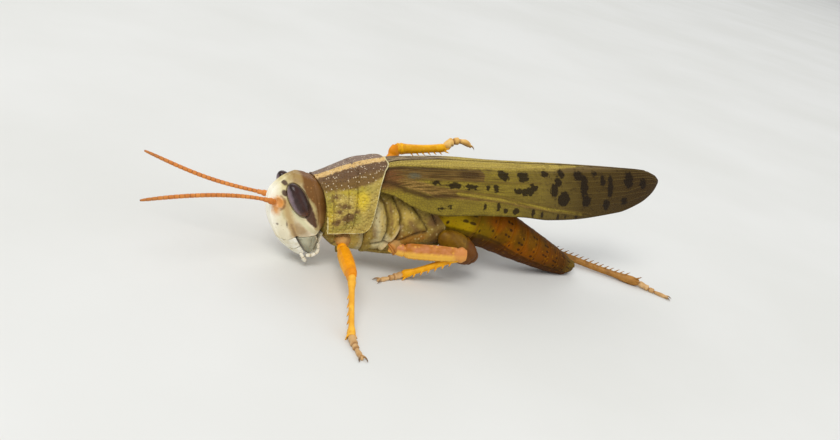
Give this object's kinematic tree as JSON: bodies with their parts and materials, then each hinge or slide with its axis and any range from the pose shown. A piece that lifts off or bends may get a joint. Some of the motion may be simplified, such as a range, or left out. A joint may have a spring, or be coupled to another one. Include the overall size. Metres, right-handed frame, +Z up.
{
  "type": "grasshopper",
  "caption": "Life-size still model of an adult winged grasshopper, long folded wings, facing forwards over low feet, resting on its feet and the end of its abdomen.",
  "frame": {"origin": "on the floor, under the middle of the whole animal's length and width", "axes": "+X towards the wing tips and the hind foot, so the face looks to -X; +Y to the animal's right; +Z up from the floor"},
  "size_m": [0.0846, 0.0468, 0.018],
  "materials": {
    "head": "satin",
    "mouth": "satin",
    "jaw": "satin",
    "eye": "gloss",
    "antenna": "satin",
    "shield": "satin",
    "thorax": "satin",
    "abdomen": "satin",
    "wing": "satin",
    "hindwing": "satin",
    "leg": "satin"
  },
  "bodies": {
    "root": {"head": "head", "clypeus": "mouth", "labrum": "mouth", "labium": "mouth", "mandible_left": "jaw", "eye_left": "eye", "maxillary_palp_left": "mouth", "labial_palp_left": "mouth", "mandible_right": "jaw", "eye_right": "eye", "maxillary_palp_right": "mouth", "labial_palp_right": "mouth", "antenna_left": "antenna", "antenna_right": "antenna", "pronotum": "shield", "prothorax": "thorax", "thorax": "thorax", "abdomen_1": "abdomen", "abdomen_2": "abdomen", "abdomen_3": "abdomen", "abdomen_4": "abdomen", "abdomen_5": "abdomen", "abdomen_6": "abdomen", "abdomen_7": "abdomen", "abdomen_8": "abdomen", "abdomen_9": "abdomen", "abdomen_tip": "abdomen", "cercus_left": "abdomen", "cercus_right": "abdomen", "tegmen_left": "wing", "hindwing_left": "hindwing", "tegmen_right": "wing", "hindwing_right": "hindwing", "fore_left_coxa": "leg", "fore_right_coxa": "leg", "middle_left_coxa": "leg", "middle_right_coxa": "leg", "hind_left_coxa": "leg", "hind_right_coxa": "leg", "fore_left_femur": "leg", "fore_left_tibia": "leg", "fore_left_tarsus": "leg", "fore_right_femur": "leg", "fore_right_tibia": "leg", "fore_right_tarsus": "leg", "middle_left_femur": "leg", "middle_left_tibia": "leg", "middle_left_tarsus": "leg", "middle_right_femur": "leg", "middle_right_tibia": "leg", "middle_right_tarsus": "leg", "hind_right_femur": "leg", "hind_right_tibia": "leg", "hind_right_tarsus": "leg"}
  },
  "joints": []
}
